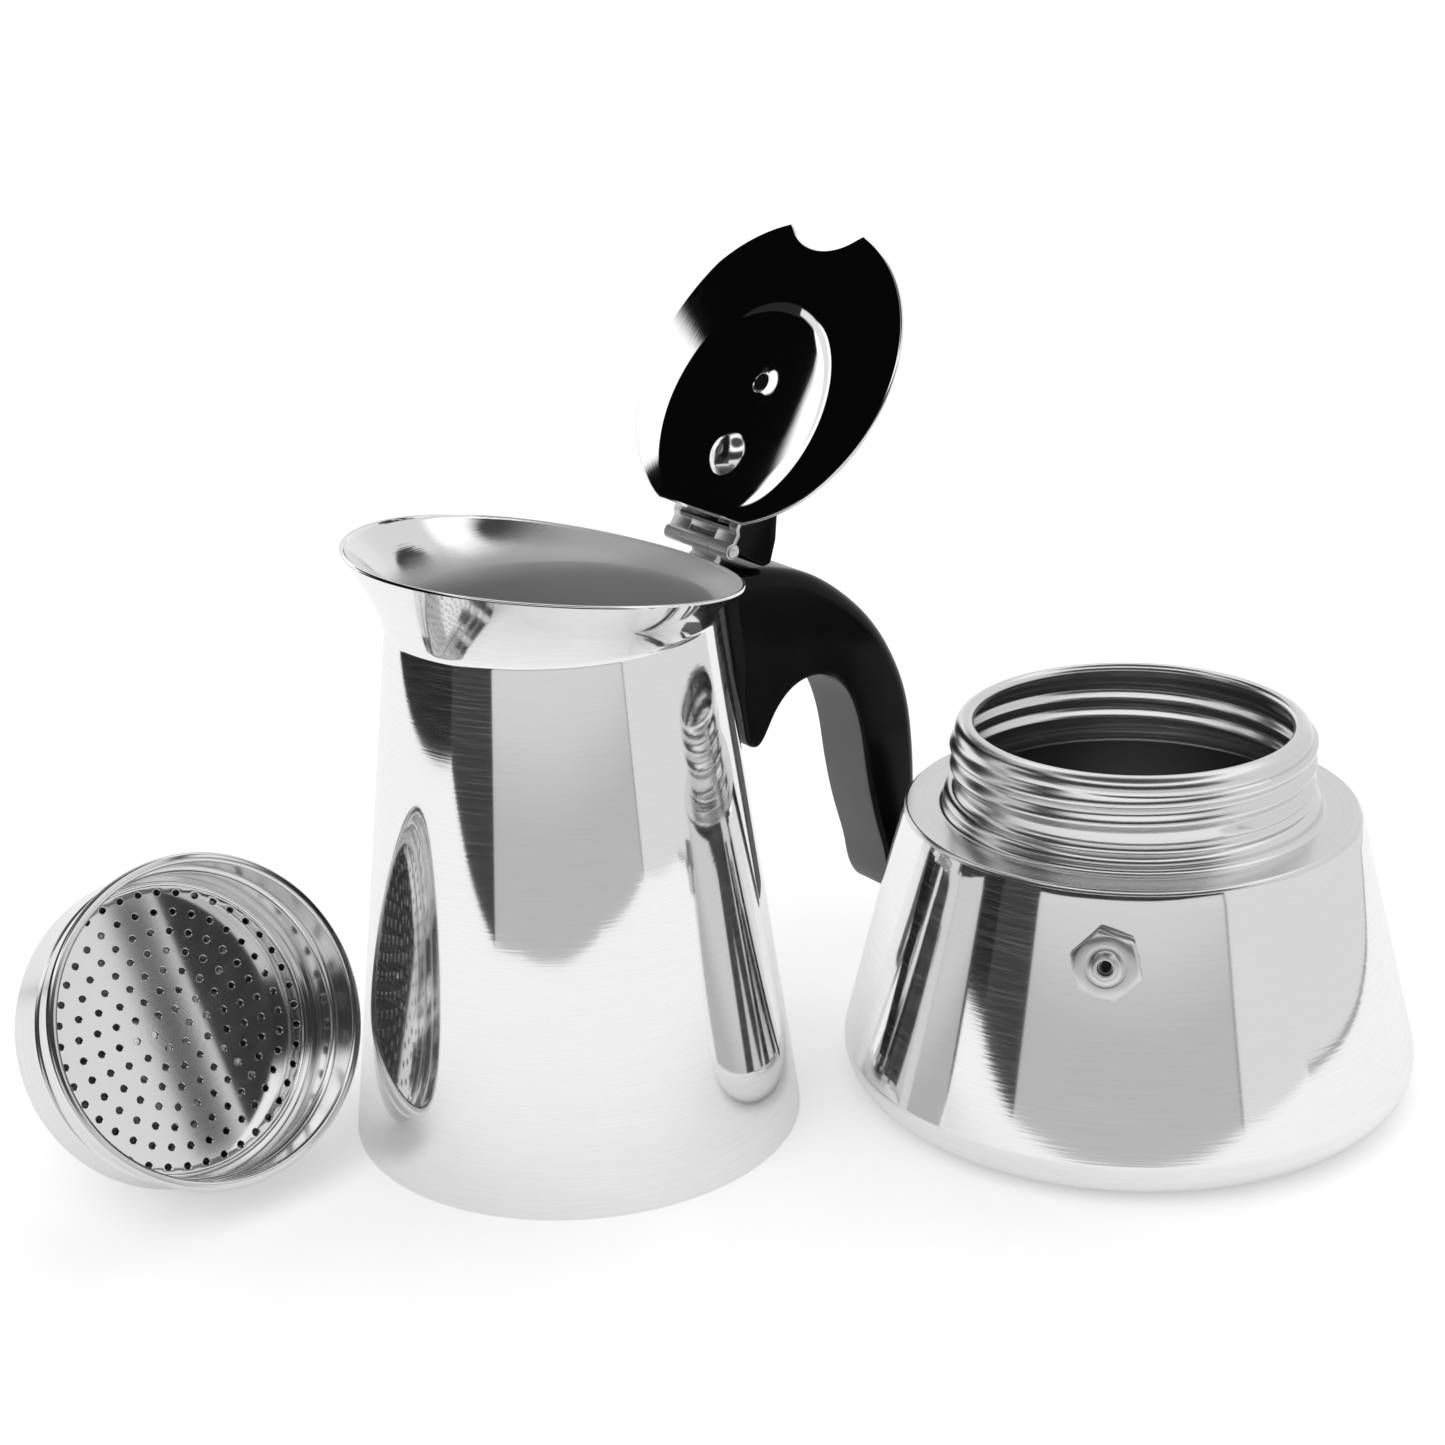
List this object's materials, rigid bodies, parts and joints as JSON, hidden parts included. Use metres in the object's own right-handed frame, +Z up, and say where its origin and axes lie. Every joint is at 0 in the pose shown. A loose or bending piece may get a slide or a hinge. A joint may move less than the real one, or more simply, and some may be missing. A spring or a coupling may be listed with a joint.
{
  "type": "stovetop moka pot",
  "caption": "Stainless steel stovetop coffee maker taken apart: a threaded conical boiler with safety valve, a spouted jug with hinged lid and black handle, and a filter funnel on its side.",
  "frame": {"origin": "centre of the boiler's flat foot, on the table", "axes": "+Z up, +X along the row from the funnel towards the boiler, +Y from the front of the row towards its back"},
  "size_m": [0.2691, 0.1109, 0.1607],
  "materials": {
    "polished_steel": "polished",
    "satin_steel": "satin",
    "matte_steel": "matte",
    "plate_steel": "satin",
    "heat_disc": "satin",
    "valve_brass": "satin",
    "spring_steel": "satin",
    "gasket": "matte",
    "black_plastic": "glossy"
  },
  "bodies": {
    "boiler": {"boiler_shell": "polished_steel", "boiler_heat_disc": "heat_disc", "boiler_neck": "satin_steel", "valve_gasket": "gasket", "valve_body": "valve_brass", "valve_washer": "gasket", "valve_nut": "valve_brass", "valve_seat": "valve_brass", "valve_spring": "spring_steel"},
    "jug": {"column_cap": "matte_steel", "column_tube": "matte_steel", "handle": "black_plastic", "handle_bracket": "satin_steel", "handle_screw": "satin_steel", "hinge_lower_leaf": "satin_steel", "hinge_pin": "satin_steel", "jug_body": "polished_steel", "jug_collar": "satin_steel", "jug_filter_plate": "plate_steel", "jug_floor": "matte_steel", "jug_gasket": "gasket"},
    "lid": {"lid_disc": "polished_steel", "lid_knob": "black_plastic", "lid_screw": "satin_steel", "hinge_upper_leaf": "satin_steel"},
    "funnel": {"funnel_basket": "plate_steel", "funnel_plate": "plate_steel", "funnel_cone": "plate_steel", "funnel_stem": "plate_steel"},
    "valve_plunger": {"valve_plunger": "valve_brass"}
  },
  "joints": [
    {"name": "jug_lift", "type": "slide", "parent": "boiler", "child": "jug", "axis": [0.0981, 0.1698, 0.9806], "range_m": [0, 0.12]},
    {"name": "lid_hinge", "type": "hinge", "parent": "jug", "child": "lid", "pos_m": [-0.07921, 0.01189, 0.1065], "axis": [0.5807, -0.8141, 0], "range_deg": [0, 113]},
    {"name": "funnel_lift", "type": "slide", "parent": "boiler", "child": "funnel", "axis": [0, 0, 1], "range_m": [0, 0.12]},
    {"name": "valve_press", "type": "slide", "parent": "boiler", "child": "valve_plunger", "axis": [-0.2346, -0.941, 0.244], "range_m": [0, 0.0008], "stiffness_N_per_m": 300, "springref_m": -0.003}
  ]
}
